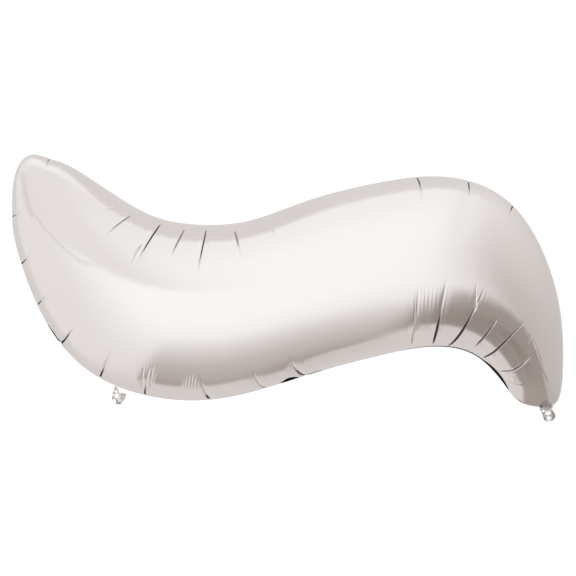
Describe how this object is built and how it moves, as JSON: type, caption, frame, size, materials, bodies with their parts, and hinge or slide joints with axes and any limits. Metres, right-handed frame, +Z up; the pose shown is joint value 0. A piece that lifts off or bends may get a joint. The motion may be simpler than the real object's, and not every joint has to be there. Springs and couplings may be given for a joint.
{
  "type": "foil balloon",
  "caption": "Silver satin foil balloon in a lying wave shape, two heat-sealed films with puckered edges, a fill neck with clear valve film and a clear tie tab",
  "frame": {"origin": "middle of the blown-up balloon, on the plane of its seal, where it floats", "axes": "+X along the wave to its right-hand tip, +Y from the front film to the back film, +Z up"},
  "size_m": [0.8681, 0.2322, 0.4211],
  "materials": {
    "satin_silver_film": "satin metallised film",
    "clear_film": "thin clear plastic film"
  },
  "bodies": {
    "envelope": {"front_film": "satin_silver_film", "back_film": "satin_silver_film"},
    "fill_tail": {"neck_front": "satin_silver_film", "neck_back": "satin_silver_film", "valve_front": "clear_film", "valve_back": "clear_film"},
    "tie_tab": {"tie_tab": "clear_film"}
  },
  "joints": [
    {"name": "fill_tail_fold", "type": "hinge", "parent": "envelope", "child": "fill_tail", "pos_m": [0.408, 0, -0.19704], "axis": [0.9816, 0, 0.1908], "range_deg": [-60, 60]},
    {"name": "tie_tab_fold", "type": "hinge", "parent": "envelope", "child": "tie_tab", "pos_m": [-0.267, 0, -0.16479], "axis": [0.9903, 0, 0.1392], "range_deg": [-60, 60]}
  ]
}
